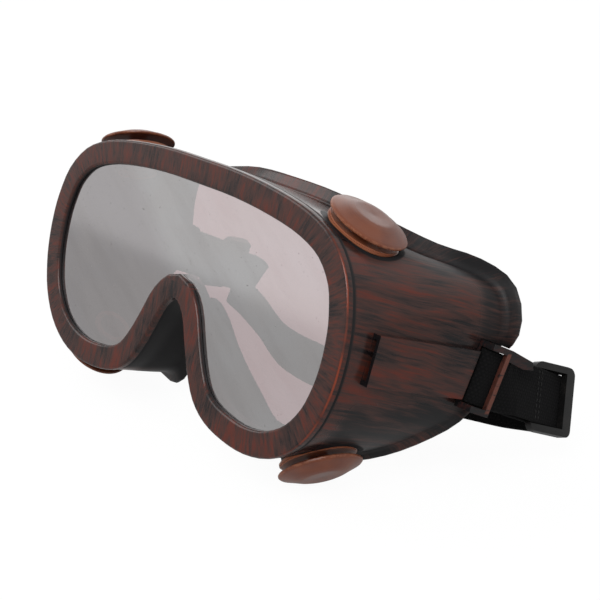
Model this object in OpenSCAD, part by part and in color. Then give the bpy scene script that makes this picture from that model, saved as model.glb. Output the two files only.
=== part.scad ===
// Protective goggles: moulded wraparound frame, single pane, four domed vents, elastic strap.
// Millimetres. +Z up, front faces -Y, symmetric about X = 0. The goggles stand as they do on a
// table, tipped back on the two lower vents and the rear of the strap. The origin is on the
// table, under the middle of the whole object.

/* [Frame] */
// Overall width of the front rim
frame_w = 165; // [150:1:180]
// Overall height of the front rim
frame_h = 80; // [74:1:88]
// Width of the flat front face of the rim
rim_face = 8.2; // [7.4:0.1:9.5]
// Thickness of the skirt wall
wall = 2.2; // [1.8:0.1:2.8]
// Depth from the rim to the face edge at the brow
brow_depth = 38; // [34:0.5:44]
// Depth from the rim to the face edge at the temples
temple_depth = 59; // [54:0.5:64]
// Depth from the rim to the face edge at the cheeks
cheek_depth = 28; // [25:0.5:32]
// Depth from the rim to the face edge at the nose
nose_depth = 15; // [13:0.5:18]
// Width of the lip turned out round the brow
lip_w = 4.6; // [3.6:0.1:6]
// Width of the rolled edge round the cheeks and nose
roll_w = 2.6; // [1.6:0.1:3.2]
// Rounding of the rim's front edges
rim_round = 0.9; // [0.4:0.1:1.2]
// Angle that the goggles lean back where they stand
tilt = 15; // [13:0.5:17]

/* [Lens] */
// Thickness of the pane
lens_t = 1.6; // [1.2:0.1:2]
// How far the pane lies behind the front of the rim
lens_recess = 1.7; // [1.6:0.1:3]
// How far the pane's edge reaches into the rim
lens_bite = 2.6; // [1.8:0.1:3.2]
// Clearance round the pane in its groove
lens_clear = 0.12; // [0.05:0.01:0.25]

/* [Vents] */
// Radius of the domed cap
cap_r = 12.8; // [12.3:0.1:13.2]
// Height of the dome above the edge of the cap
cap_rise = 2.4; // [2.2:0.1:3.6]
// Thickness of the cap's edge
cap_edge = 1; // [0.8:0.1:1.4]
// Wall thickness of the cap under the dome
cap_wall = 1.1; // [0.9:0.1:1.4]
// Air gap between the cap and the ring under it
cap_gap = 2; // [1.4:0.1:2.4]
// Radius of the ring that sits on the frame
ring_r = 11.8; // [11.4:0.1:12.2]
// Thickness of the ring
ring_t = 1.4; // [1.2:0.1:1.8]
// How far the ring's flat seat is sunk into the curve of the skirt
seat_sink = 0.1; // [-0.3:0.1:0.6]
// Radius of the moulded neck that carries the vent
neck_r = 10.8; // [10:0.1:11]
// Length of the moulded neck along the vent's axis
neck_len = 5; // [4.6:0.1:5.6]
// Angle that the upper vents lean outwards
upper_lean = 24; // [22:1:28]
// Angle that the upper vents lean backwards
upper_tip = 5; // [0:1:8]
// Angle that the lower vents lean outwards
lower_lean = 38; // [34:1:40]
// Radius of the vent's stem
stem_r = 6.2; // [5.6:0.1:6.6]
// Wall thickness of the stem
stem_wall = 1.3; // [1:0.1:1.5]
// Radial clearance of the stem in the neck
stem_clear = 0.1; // [0.05:0.01:0.2]
// Thickness of the ring that holds the stem inside the frame
keeper_t = 1.4; // [1.1:0.1:1.8]
// Radius of the ring that holds the stem inside the frame
keeper_r = 8.6; // [7.8:0.1:9.2]
// Radius of the spindle that the cap turns on
spindle_r = 1.8; // [1.4:0.1:2]
// Running clearance round the spindle
spindle_clear = 0.06; // [0.03:0.01:0.1]
// Gap between the inner ring and the back of the rim
keeper_gap = 1.2; // [0.8:0.1:1.8]
// How far the lower vents lie behind the upper ones
lower_back = 1; // [0:0.1:2]

/* [Strap and fittings] */
// Width of the webbing
strap_w = 17; // [15:0.5:19]
// Thickness of the webbing
strap_t = 1.2; // [0.9:0.1:1.5]
// Radius of the pin that the webbing loops round
pin_r = 1.0; // [0.8:0.1:1.4]
// Clearance between the webbing and what it passes
strap_clear = 0.2; // [0.12:0.01:0.3]
// Length of the doubled webbing from the pin to the buckle's centre
loop_len = 32.5; // [31:0.5:40]
// Angle that the doubled webbing drops towards the back
strap_dip = 12; // [8:0.5:13]
// Angle that the webbing twists inwards at the top on its way to the buckle
strap_twist = 20; // [0:1:24]
// Height of the raised side sleeve
sleeve_h = 15; // [13:0.5:17]
// Length of the raised side sleeve
sleeve_len = 39; // [34:0.5:42]
// How far the sleeve stands out from the skirt
sleeve_rise = 2.9; // [2.6:0.1:3.4]
// Thickness of the clip's blade inside the sleeve
blade_t = 1.3; // [1:0.1:1.5]
// Width of the clip's upper and lower arms
arm_w = 1.9; // [1.5:0.1:2.4]
// Width of the clip's rear bar
clip_bar = 1.8; // [1.4:0.1:2.4]
// Length of the buckle along the webbing
buckle_len = 15; // [14:0.5:18]
// Width of the buckle's front and rear bars
buckle_bar = 4; // [3.4:0.1:4.4]
// Width of the buckle's upper and lower rails
buckle_rail = 2.2; // [1.8:0.1:2.8]
// Thickness of the buckle
buckle_t = 2.2; // [1.8:0.1:2.6]
// Distance between the centres of the folded webbing runs
fold_gap = 7.5; // [6.5:0.5:10]

/* [Hidden] */

// Steps between two outline points, and facets of round parts
outline_steps = 3;
round_fn = 64;

half_w = frame_w / 2;
half_h = frame_h / 2;
groove_front = lens_recess - lens_clear;
groove_back = lens_recess + lens_t + lens_clear;
back_lip = 3.6;
rim_depth = groove_back + back_lip;
// The fine line behind the rim: its place, depth, slopes and floor
line_y = 2.2;
line_depth = 0.6;
line_slope = 0.4;
line_floor = 0.5;
line_low = line_y + line_slope + line_floor;
skirt_start = line_low + line_depth;

// Half outline from the brow's middle round the temple and cheek to the nose. Each row has
// x and z as shares of the half width and half height, the depth to the face edge, the width
// of the lip there, and how far the face edge lies above its plain squeezed outline.
temple_more = temple_depth - brow_depth;
temple_over_cheek = temple_depth - cheek_depth;
cheek_over_nose = cheek_depth - nose_depth;
half_outline = [
    [0.000, 1.000, brow_depth, lip_w, -2.6],
    [0.240, 0.995, brow_depth + 0.04 * temple_more, lip_w, -3.1],
    [0.480, 0.955, brow_depth + 0.20 * temple_more, lip_w, -5.2],
    [0.680, 0.885, brow_depth + 0.43 * temple_more, lip_w, -5.4],
    [0.830, 0.762, brow_depth + 0.70 * temple_more, lip_w, -1.9],
    [0.936, 0.545, brow_depth + 0.92 * temple_more, lip_w, 2],
    [0.985, 0.285, temple_depth, lip_w, 1],
    [1.000, 0.080, temple_depth, 0.3 * roll_w, -0.4],
    [0.999, -0.130, temple_depth - 0.03 * temple_over_cheek, 0.2 * roll_w, -0.8],
    [0.982, -0.335, temple_depth - 0.14 * temple_over_cheek, 0.3 * roll_w, -0.7],
    [0.938, -0.570, temple_depth - 0.38 * temple_over_cheek, 0.6 * roll_w, 0],
    [0.853, -0.785, temple_depth - 0.68 * temple_over_cheek, 0.7 * roll_w, -1],
    [0.733, -0.933, temple_depth - 0.88 * temple_over_cheek, 0.9 * roll_w, -1.7],
    [0.594, -0.998, temple_depth - 0.98 * temple_over_cheek, roll_w, -2.2],
    [0.460, -0.990, cheek_depth - 0.02 * cheek_over_nose, 1.2 * roll_w, -2.4],
    [0.335, -0.935, cheek_depth - 0.12 * cheek_over_nose, 1.4 * roll_w, -4.2],
    [0.240, -0.820, cheek_depth - 0.28 * cheek_over_nose, roll_w, -1.8],
    [0.172, -0.640, cheek_depth - 0.50 * cheek_over_nose, roll_w, -1.6],
    [0.118, -0.435, cheek_depth - 0.74 * cheek_over_nose, roll_w, -1.8],
    [0.068, -0.235, cheek_depth - 0.92 * cheek_over_nose, roll_w, -1.8],
    [0.000, -0.135, nose_depth, roll_w, -1.6]];

function flip(p) = [-p[0], p[1], p[2], p[3], p[4]];
last_half = len(half_outline) - 1;
outline_ctrl = concat(half_outline,
    [for (i = [last_half - 1 : -1 : 1]) flip(half_outline[i])]);
ctrl_n = len(outline_ctrl);
stations = ctrl_n * outline_steps;

// Smooth curve through four rows of numbers, t from 0 to 1 between b and c
function spline(a, b, c, d, t) =
    0.5 * ((2 * b) + (c - a) * t + (2 * a - 5 * b + 4 * c - d) * t * t
        + (3 * b - a - 3 * c + d) * t * t * t);
function wrap(i, n) = ((i % n) + n) % n;
function outline_row(u) =
    let (i = floor(u), t = u - i)
    spline(outline_ctrl[wrap(i - 1, ctrl_n)], outline_ctrl[wrap(i, ctrl_n)],
        outline_ctrl[wrap(i + 1, ctrl_n)], outline_ctrl[wrap(i + 2, ctrl_n)], t);
function mix(a, b, t) = a + (b - a) * t;
function unit(v) = v / norm(v);

// Front outline and face edge in the XZ plane, and their outward normals
flare = 1.053;
flare_more = 0.03;
face_squeeze = 0.9;
strap_recess = 3;
recess_half = 14;
function front_at(u) = let (r = outline_row(u)) [r[0] * half_w, r[1] * half_h];
// The face edge is flared, but drawn in where the strap passes
function draw_in(z) = strap_recess * exp(-pow((z + 3) / recess_half, 4));
function face_at(u) =
    let (f = front_at(u), side = min(1, abs(f[0]) / half_w))
    [f[0] * (flare + flare_more * f[1] / half_h) - sign(f[0]) * draw_in(f[1]) * pow(side, 6),
        f[1] * face_squeeze + outline_row(u)[4]];
function normal_of(a, b) = let (d = unit(b - a)) [-d[1], d[0]];
u_step = 1 / outline_steps;
function front_normal(u) = normal_of(front_at(u - u_step / 2), front_at(u + u_step / 2));
function face_normal(u) = normal_of(face_at(u - u_step / 2), face_at(u + u_step / 2));

// A point of the rim at an outward offset and a depth, and one at the face edge
function rim_pt(u, out, y) = let (f = front_at(u), n = front_normal(u))
    [f[0] + n[0] * out, y, f[1] + n[1] * out];
function edge_pt(u, out, dy) = let (f = face_at(u), n = face_normal(u), r = outline_row(u))
    [f[0] + n[0] * out, r[2] + dy, f[1] + n[1] * out];
// The skirt's outer surface, t from 0 behind the rim to 1 at the face edge
skirt_in = -0.25;
edge_start = -2.2;
bulge = 0.2;
function skirt_pt(u, inset, t) =
    let (p = mix(rim_pt(u, skirt_in - inset, skirt_start), edge_pt(u, -inset, edge_start), t),
        n = front_normal(u), b = bulge * 4 * t * (1 - t))
    [p[0] + n[0] * b, p[1], p[2] + n[1] * b];

// One closed section of the frame, from the front face round the outside and back inside
function frame_section(u) = let (w = outline_row(u)[3], inner = -rim_face, r = rim_round) [
    rim_pt(u, inner + r, 0), rim_pt(u, -r, 0), rim_pt(u, -0.3 * r, 0.3 * r), rim_pt(u, 0, r),
    rim_pt(u, 0, line_y), rim_pt(u, -line_depth, line_y + line_slope),
    rim_pt(u, -line_depth, line_low), rim_pt(u, skirt_in, skirt_start),
    skirt_pt(u, 0, 0.2), skirt_pt(u, 0, 0.42), skirt_pt(u, 0, 0.64), skirt_pt(u, 0, 0.84),
    edge_pt(u, 0, edge_start), edge_pt(u, 0.15 * w, -0.8), edge_pt(u, 0.4 * w, -0.1),
    edge_pt(u, 0.86 * w, 0.5), edge_pt(u, w, 1.2), edge_pt(u, 0.95 * w, 2), edge_pt(u, 0.8 * w, 2.4),
    edge_pt(u, -wall + 1, 2.3), edge_pt(u, -wall + 0.2, 1.7), edge_pt(u, -wall, 0.8),
    edge_pt(u, -wall, edge_start), skirt_pt(u, wall, 0.84), skirt_pt(u, wall, 0.64),
    skirt_pt(u, wall, 0.42), rim_pt(u, skirt_in - wall - 0.4, rim_depth + 1.6),
    rim_pt(u, skirt_in - wall - 1.4, rim_depth + 0.3), rim_pt(u, inner + 0.6, rim_depth),
    rim_pt(u, inner, rim_depth - 0.6), rim_pt(u, inner, groove_back),
    rim_pt(u, inner + lens_bite, groove_back), rim_pt(u, inner + lens_bite, groove_front),
    rim_pt(u, inner, groove_front), rim_pt(u, inner, r), rim_pt(u, inner + 0.3 * r, 0.3 * r)];

// A closed tube of sections: every section has the same number of points
module ring_of(sections) {
    n = len(sections);
    k = len(sections[0]);
    polyhedron(points = [for (s = sections, p = s) p],
        faces = [for (i = [0 : n - 1], j = [0 : k - 1])
            [i * k + j, i * k + (j + 1) % k,
                ((i + 1) % n) * k + (j + 1) % k, ((i + 1) % n) * k + j]]);
}

// Vents: place along the outline, lean outwards, depth and lean backwards, and how far each part
// lies from the cap's rim
upper_y = rim_depth + keeper_r + keeper_gap;
upper = [3.29, upper_lean, upper_y, upper_tip];
lower = [11.9, 180 - lower_lean, upper_y + lower_back, 0];
ring_top = -cap_edge - cap_gap;
ring_low = ring_top - ring_t;
function skirt_at(u, y) =
    skirt_pt(u, 0, (y - skirt_start) / (outline_row(u)[2] + edge_start - skirt_start));
function vent_axis(v) = [sin(v[1]), cos(v[1]) * sin(v[3]), cos(v[1]) * cos(v[3])];
function vent_centre(v) = skirt_at(v[0], v[2]) - vent_axis(v) * (seat_sink + ring_low);
module at_vent(v) {
    translate(vent_centre(v)) rotate([-v[3], 0, 0]) rotate([0, v[1], 0]) children();
}
neck_low = ring_low - neck_len;
keeper_low = neck_low - keeper_t;
barb = 0.5;
barb_t = 0.9;
stem_low = keeper_low - barb_t - 0.1;

// Side fittings: the pin's centre, and the frame of the doubled webbing behind it
pin_y = 52;
pin_z = -3;
side_u = 7.9;
function side_x(y) = skirt_at(side_u, y)[0];
web_gap = 0.35;
layer_d = pin_r + strap_clear + strap_t / 2;
layer_out = layer_d + strap_t / 2;
pin_x = side_x(pin_y) + web_gap + layer_out;
side_turn = atan2(side_x(pin_y) - side_x(pin_y - sleeve_len), sleeve_len);
sleeve_dip = 4;
loop_h = strap_w + 2 * strap_clear;
module on_side(s) {
    mirror([s < 0 ? 1 : 0, 0, 0]) translate([pin_x, pin_y, pin_z]) children();
}
// X outboard, Y along the webbing towards the back, Z up across it
module run_frame(s) { on_side(s) rotate([-strap_dip, 0, 0]) children(); }
module sleeve_frame(s) { on_side(s) rotate([-sleeve_dip, 0, -side_turn]) children(); }
// Everything behind a plane across the webbing
module behind(s, y) {
    far = 40;
    run_frame(s) translate([-far, y, -far]) cube([2 * far, 2 * far, 2 * far]);
}

// Sleeve limits in its own frame: X outboard, Y towards the back, Z up
skin_t = 1.15;
blade_clear = 0.15;
skin_out = sleeve_rise - (pin_x - side_x(pin_y));
channel_out = skin_out - skin_t;
channel_in = channel_out - blade_t - 2 * blade_clear;
sleeve_root = 1.3;
sleeve_end = -layer_out - 0.9;
sleeve_start = sleeve_end - sleeve_len;
blade_h = sleeve_h - 3.4;
blade_set_in = 5;

// Standing: height at which the lower caps' shoulders touch the table at the chosen tilt
shoulder_in = 0.4;
shoulder_up = 0.1;
row_up = [0, -sin(tilt), cos(tilt)];
low_k = vent_axis(lower) * row_up;
stand = (cap_r - shoulder_in) * sqrt(1 - low_k * low_k) - shoulder_up * low_k
    - vent_centre(lower) * row_up;

// Webbing: centre line of the right half, from the cut end to the middle of the back. Each
// row is a point and the direction of the webbing's width there.
tail_past_bar = 0.6;
fold_after = 1.4;
rear_stop = loop_len + buckle_len / 2 - tail_past_bar;
twist_from = 8;
twist_len = 7;
function ease(t) = let (c = min(1, max(0, t))) c * c * (3 - 2 * c);
function twist_at(s) = strap_twist * ease((s - twist_from) / twist_len);
run_along = [0, cos(strap_dip), -sin(strap_dip)];
run_across = [0, sin(strap_dip), cos(strap_dip)];
function run_out(s) = [cos(twist_at(s)), 0, 0] + sin(twist_at(s)) * run_across;
function run_wide(s) = cos(twist_at(s)) * run_across - [sin(twist_at(s)), 0, 0];
function run_row(d, s) = [[pin_x, pin_y, pin_z] + run_along * s + run_out(s) * d, run_wide(s)];
fold_r = fold_gap / 2;
wrap_steps = 10;
// Height of the webbing's centre where its lower edge rests on the table at a given depth,
// and how the run behind the buckle turns in, rounds the corner and crosses the back
rest_gap = 0.1;
function floor_z(y) = (y * sin(tilt) - stand + strap_w / 2 + rest_gap) / cos(tilt);
back_y = 66;
lead_out = 10;
turn_in = [-3, -11, 0.6];
corner_in = 15;
corner_back = 9;
fold_row = run_row(-layer_d - 2 * fold_r, rear_stop + fold_after);
fold_end = fold_row[0];
rear_ctrl = [[fold_end + lead_out * run_along, fold_row[1]], fold_row,
    [fold_end + turn_in, mix(fold_row[1], row_up, 0.4)],
    [[fold_end[0] - corner_in, back_y + corner_back,
        mix(fold_end[2], floor_z(back_y), 0.12)], row_up],
    for (c = [[0.52, 3, 0.42], [0.32, 1, 0.88], [0.16, 0.3, 1], [0, 0, 1], [-0.16, 0.3, 1]])
        [[c[0] * fold_end[0], back_y + c[1], mix(fold_end[2], floor_z(back_y + c[1]), c[2])], row_up]];
rear_steps = 6;
rear_run = [for (i = [1 : len(rear_ctrl) - 3], j = [0 : rear_steps - 1])
    spline(rear_ctrl[i - 1], rear_ctrl[i], rear_ctrl[i + 1], rear_ctrl[i + 2], j / rear_steps)];
run_step = 3;
half_strap = concat(
    [for (s = [rear_stop : -run_step : run_step / 2]) run_row(layer_d, s)],
    [for (a = [0 : 180 / wrap_steps : 180]) run_row(layer_d * cos(a), -layer_d * sin(a))],
    [for (s = [run_step : run_step : rear_stop]) run_row(-layer_d, s)],
    [for (a = [0 : 180 / wrap_steps : 179]) run_row(-layer_d - fold_r + fold_r * cos(a),
        rear_stop + fold_after + fold_r * sin(a))],
    rear_run);
half_n = len(half_strap);
function flip_x(v) = [-v[0], v[1], v[2]];
strap_path = concat(half_strap, [[[0, back_y, floor_z(back_y)], row_up]],
    [for (i = [half_n - 1 : -1 : 0]) [flip_x(half_strap[i][0]), flip_x(half_strap[i][1])]]);

// Sections of a flat band along a path of points and width directions
function band_sections(path, w, t) = [for (i = [0 : len(path) - 1])
    let (tan = unit(path[min(i + 1, len(path) - 1)][0] - path[max(i - 1, 0)][0]), up = path[i][1],
        wide = unit(up - (up * tan) * tan), thick = cross(tan, wide))
    [for (c = [[-1, -1], [1, -1], [1, 1], [-1, 1]])
        path[i][0] + wide * c[0] * w / 2 + thick * c[1] * t / 2]];
strap_sections = band_sections(strap_path, strap_w, strap_t);

// The whole object's front and rear limits once it leans back, and its place on the table
row_back = [0, cos(tilt), sin(tilt)];
front_y = min([for (i = [0 : stations - 1], p = frame_section(i * u_step)) p * row_back]);
rear_y = max([for (sec = strap_sections, p = sec) p * row_back]);
module stance() {
    translate([0, -(front_y + rear_y) / 2, stand]) rotate([-tilt, 0, 0]) children();
}

module band(sections) {
    n = len(sections);
    polyhedron(points = [for (s = sections, p = s) p],
        faces = concat([[3, 2, 1, 0]], [[for (j = [0 : 3]) 4 * (n - 1) + j]],
            [for (i = [0 : n - 2], j = [0 : 3], h = [0, 1])
                let (a = 4 * i + j, b = 4 * i + (j + 1) % 4)
                h == 0 ? [a, b, b + 4] : [a, b + 4, a + 4]]));
}

// Channel for the clip's blade, cut through sleeve and skirt, and the pocket behind the sleeve
module blade_channel(s) {
    overrun = 8;
    sleeve_frame(s) translate([channel_in, sleeve_start - 1, -blade_h / 2 - blade_clear])
        cube([channel_out - channel_in, sleeve_len + overrun, blade_h + 2 * blade_clear]);
    run_frame(s) translate([channel_in - blade_clear, sleeve_end, -loop_h / 2 - arm_w - strap_clear])
        cube([2 * overrun, 2 * overrun, loop_h + 2 * (arm_w + strap_clear)]);
}

// Raised sleeve on the side
module side_sleeve(s) {
    overrun = 8;
    difference() {
        sleeve_frame(s) translate([channel_in - sleeve_root, sleeve_start, -sleeve_h / 2])
            cube([skin_out - channel_in + sleeve_root, sleeve_len + overrun, sleeve_h]);
        behind(s, sleeve_end);
    }
}

module each_vent() {
    for (s = [1, -1], v = [upper, lower])
        mirror([s < 0 ? 1 : 0, 0, 0]) at_vent(v) children();
}

module frame() {
    seat_clear = 0.3;
    cut = 6;
    color("#3a1f18") stance() difference() {
        union() {
            ring_of([for (i = [0 : stations - 1]) frame_section(i * u_step)]);
            for (s = [1, -1]) side_sleeve(s);
            each_vent() translate([0, 0, neck_low]) cylinder(r = neck_r, h = neck_len, $fn = round_fn);
        }
        for (s = [1, -1]) blade_channel(s);
        each_vent() translate([0, 0, neck_low - cut])
            cylinder(r = stem_r + stem_clear, h = neck_len + 2 * cut, $fn = round_fn);
        each_vent() translate([0, 0, ring_low])
            cylinder(r = ring_r + seat_clear, h = 2 * cut, $fn = round_fn);
        each_vent() translate([0, 0, neck_low - cut])
            cylinder(r = keeper_r + seat_clear, h = cut, $fn = round_fn);
    }
}

module lens() {
    inset = lens_bite - lens_clear - rim_face;
    color("#b4acae", 0.8) stance() translate([0, lens_recess + lens_t, 0]) rotate([90, 0, 0])
        linear_extrude(height = lens_t) polygon([for (i = [0 : stations - 1])
            let (p = rim_pt(i * u_step, inset, 0)) [p[0], p[2]]]);
}

// A vent part in its place: s is 1 on the right and -1 on the left
module vent_place(s, v) { stance() mirror([s < 0 ? 1 : 0, 0, 0]) at_vent(v) children(); }

module vent_seat(s, v) {
    bore_r = stem_r - stem_wall;
    hub_r = spindle_r + 1.6;
    hub_in = spindle_r + spindle_clear;
    chamfer = 0.4;
    spoke_w = 1.6;
    spoke_lap = 0.5;
    color("#a5694a") vent_place(s, v) {
        rotate_extrude($fn = round_fn) {
            translate([bore_r, ring_low]) square([ring_r - bore_r - chamfer, ring_t]);
            translate([bore_r, ring_low + chamfer]) square([ring_r - bore_r, ring_t - 2 * chamfer]);
            translate([bore_r, stem_low]) square([stem_wall, ring_top - stem_low]);
            translate([bore_r, stem_low]) square([stem_wall + barb, barb_t]);
            translate([hub_in, ring_low]) square([hub_r - hub_in, ring_t]);
        }
        for (a = [0, 120, 240]) rotate([0, 0, a]) translate([hub_r - spoke_lap, -spoke_w / 2, ring_low])
            cube([bore_r - hub_r + 2 * spoke_lap, spoke_w, ring_t]);
    }
}

module vent_cap(s, v) {
    crown_r = 0.48 * cap_r;
    roof = cap_rise - cap_wall;
    snap_low = ring_low - 1.2;
    end_play = 0.15;
    edge_in = 0.3;
    snap = 0.4;
    collar = 1.2;
    color("#8a4e38") vent_place(s, v) rotate_extrude($fn = round_fn) {
        polygon([[0, -cap_edge + 0.6], [cap_r - 1.6, -cap_edge], [cap_r - edge_in, -cap_edge],
            [cap_r, -cap_edge + edge_in], [cap_r, -edge_in], [cap_r - shoulder_in, shoulder_up],
            [0.78 * cap_r, 0.42 * cap_rise], [0.6 * cap_r, 0.8 * cap_rise], [crown_r, 0.97 * cap_rise],
            [0.25 * cap_r, cap_rise - 0.15], [0, cap_rise - 0.3], [0, roof], [crown_r, roof - 0.1],
            [cap_r - 2.4, -cap_edge + 0.6]]);
        translate([0, snap_low]) square([spindle_r, roof - snap_low + snap]);
        translate([0, snap_low]) square([spindle_r + snap, ring_low - end_play - snap_low]);
        translate([0, ring_top + end_play]) square([spindle_r + collar, roof - ring_top]);
    }
}

module vent_keeper(s, v) {
    fit = 0.05;
    color("#2a2422") vent_place(s, v) rotate_extrude($fn = round_fn)
        translate([stem_r + fit, keeper_low]) square([keeper_r - stem_r - fit, keeper_t - 0.02]);
}

module strap_clip(s) {
    plate = 1.5;
    blade_x = channel_in + blade_clear;
    heel = sleeve_end + 0.3;
    loop_rear = layer_out + 1.2;
    bar_x = layer_out + strap_clear;
    lap = 0.5;
    horn = [[0, arm_w], [clip_bar, arm_w], [12, 0.8], [13.5, -1.5], [9, -2.2], [clip_bar, -1.6], [0, -lap]];
    color("#4a2a20") stance() {
        difference() {
            sleeve_frame(s) translate([blade_x, sleeve_start + blade_set_in, -blade_h / 2])
                cube([blade_t, sleeve_len - blade_set_in + 0.9, blade_h]);
            behind(s, sleeve_end + 0.6);
        }
        run_frame(s) {
            for (z = [loop_h / 2, -loop_h / 2 - arm_w]) translate([blade_x, heel, z])
                cube([bar_x + plate - blade_x, loop_rear + clip_bar - heel, arm_w]);
            translate([blade_x, heel, -loop_h / 2 - lap]) cube([blade_t, 0.6, loop_h + 2 * lap]);
            translate([bar_x, loop_rear, -loop_h / 2 - lap]) cube([plate, clip_bar, loop_h + 2 * lap]);
            translate([bar_x, loop_rear, loop_h / 2]) rotate([90, 0, 90])
                linear_extrude(height = plate) polygon(horn);
            translate([0, 0, -loop_h / 2 - lap]) cylinder(r = pin_r, h = loop_h + 2 * lap, $fn = round_fn);
        }
    }
}

// Ladder buckle: flat under the webbing at the front, stepping outboard to its rear bar
module buckle(s) {
    rise = layer_out + strap_clear + buckle_t / 2;
    half_l = buckle_len / 2;
    half_t = buckle_t / 2;
    rail_z = strap_w / 2 + strap_clear;
    half_h = rail_z + buckle_rail;
    corner = 2.4;
    bar_t = 2 * (pin_r - 0.05);
    mid_bar = 2.4;
    lap = 0.5;
    side = [[-half_t, -half_l], [half_t, -half_l], [rise + half_t, half_l - buckle_bar],
        [rise + half_t, half_l], [rise - half_t, half_l], [-half_t, -half_l + buckle_bar]];
    color("#191514") stance() run_frame(s) rotate([0, -strap_twist, 0])
        translate([0, loop_len, 0]) intersection() {
        union() {
            for (z = [rail_z, -rail_z - buckle_rail]) translate([0, 0, z])
                linear_extrude(height = buckle_rail) polygon(side);
            for (y = [[-half_l, buckle_bar], [-mid_bar / 2, mid_bar]])
                translate([-bar_t / 2, y[0], -rail_z - lap]) cube([bar_t, y[1], 2 * (rail_z + lap)]);
            translate([rise - half_t, half_l - buckle_bar, -rail_z - lap])
                cube([buckle_t, buckle_bar, 2 * (rail_z + lap)]);
        }
        rotate([90, 0, 90]) translate([0, 0, -buckle_t]) linear_extrude(height = rise + 3 * buckle_t) {
            square([buckle_len, 2 * (half_h - corner)], center = true);
            square([buckle_len - 2 * corner, 2 * half_h], center = true);
            for (y = [-1, 1], z = [-1, 1]) translate([y * (half_l - corner), z * (half_h - corner)])
                circle(r = corner, $fn = 32);
        }
    }
}

module strap() { color("#141414") stance() band(strap_sections); }

frame();
lens();
vent_seat(1, upper);  // vent_seat_upper_right
vent_seat(-1, upper);  // vent_seat_upper_left
vent_seat(1, lower);  // vent_seat_lower_right
vent_seat(-1, lower);  // vent_seat_lower_left
vent_cap(1, upper);  // vent_cap_upper_right
vent_cap(-1, upper);  // vent_cap_upper_left
vent_cap(1, lower);  // vent_cap_lower_right
vent_cap(-1, lower);  // vent_cap_lower_left
vent_keeper(1, upper);  // vent_keeper_upper_right
vent_keeper(-1, upper);  // vent_keeper_upper_left
vent_keeper(1, lower);  // vent_keeper_lower_right
vent_keeper(-1, lower);  // vent_keeper_lower_left
strap_clip(1);  // strap_clip_right
strap_clip(-1);  // strap_clip_left
buckle(1);  // buckle_right
buckle(-1);  // buckle_left
strap();
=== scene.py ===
"""Protective goggles: the looks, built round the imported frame. Metres, CAD frame."""

from __future__ import annotations

import logging
from dataclasses import dataclass
from enum import Enum
from math import cos, pi, radians, sin, tan
from typing import Any, Sequence

import bpy
import numpy as np
from mathutils import Matrix, Vector

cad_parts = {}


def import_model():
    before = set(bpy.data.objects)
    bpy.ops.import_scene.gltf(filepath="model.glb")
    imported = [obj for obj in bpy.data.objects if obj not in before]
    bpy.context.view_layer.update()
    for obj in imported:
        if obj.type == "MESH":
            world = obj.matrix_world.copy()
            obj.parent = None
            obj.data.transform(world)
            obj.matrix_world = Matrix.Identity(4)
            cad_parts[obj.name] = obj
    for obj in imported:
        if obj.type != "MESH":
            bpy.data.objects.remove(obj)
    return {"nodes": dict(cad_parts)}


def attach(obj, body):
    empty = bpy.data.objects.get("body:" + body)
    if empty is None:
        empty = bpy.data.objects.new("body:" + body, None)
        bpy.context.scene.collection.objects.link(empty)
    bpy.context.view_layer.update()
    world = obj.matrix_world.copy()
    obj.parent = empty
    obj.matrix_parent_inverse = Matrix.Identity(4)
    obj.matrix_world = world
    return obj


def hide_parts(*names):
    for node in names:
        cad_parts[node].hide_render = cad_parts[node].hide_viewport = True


LOG = logging.getLogger("goggles")
MM = 0.001
BAND = "band"  # the webbing's own coordinates, kept on its mesh
WHITE = (1.0, 1.0, 1.0)
MERGE_WITHIN = 2e-6  # metres
BEVEL_STEPS = 3
FACE_WEIGHT = 60
Colour = tuple[float, float, float]
Point = tuple[float, float, float]
Edge = tuple[float, float]  # where a soft step starts, and where it ends
Array = np.ndarray
Row = tuple[Array, Array]  # a point of the webbing, and the direction of its width
Relief = tuple[float, float]  # how many metres a height of 1 stands for, and its strength
Socket = bpy.types.NodeSocket
Piece = bpy.types.Object


class Side(Enum):
    """Which half of the goggles a part belongs to, by the sign of X."""

    RIGHT = 1
    LEFT = -1


class VentPlace(Enum):
    """Where on a side a vent sits: the centre of its cap's rim in millimetres, and its axis."""

    UPPER = ((63.298, 17.162, 35.667), (0.4067, 0.0796, 0.9101))
    LOWER = ((65.057, 17.820, -39.240), (0.6157, 0.0000, -0.7880))

    def across_and_along(self, d: Drawing, place: Sequence[Signal]) -> tuple[Signal, Signal]:
        """Where a place lies from this vent, on whichever side it is.

        Args:
            d: the drawing.
            place: how far across, back and up it lies, in millimetres.

        Returns:
            The distance from the vent's axis, and the distance along it past the cap's rim.
        """
        centre, axis = self.value
        x, y, z = place
        arm = d.vector("SUBTRACT", d.join(abs(x), y, z), centre)
        height = d.vector("DOT_PRODUCT", arm, axis)
        reach = d.vector("LENGTH", arm, (0.0, 0.0, 0.0))
        across = d.maths("SQRT", d.maths("MAXIMUM", reach * reach - height * height, 0.0))
        return across, height


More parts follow.
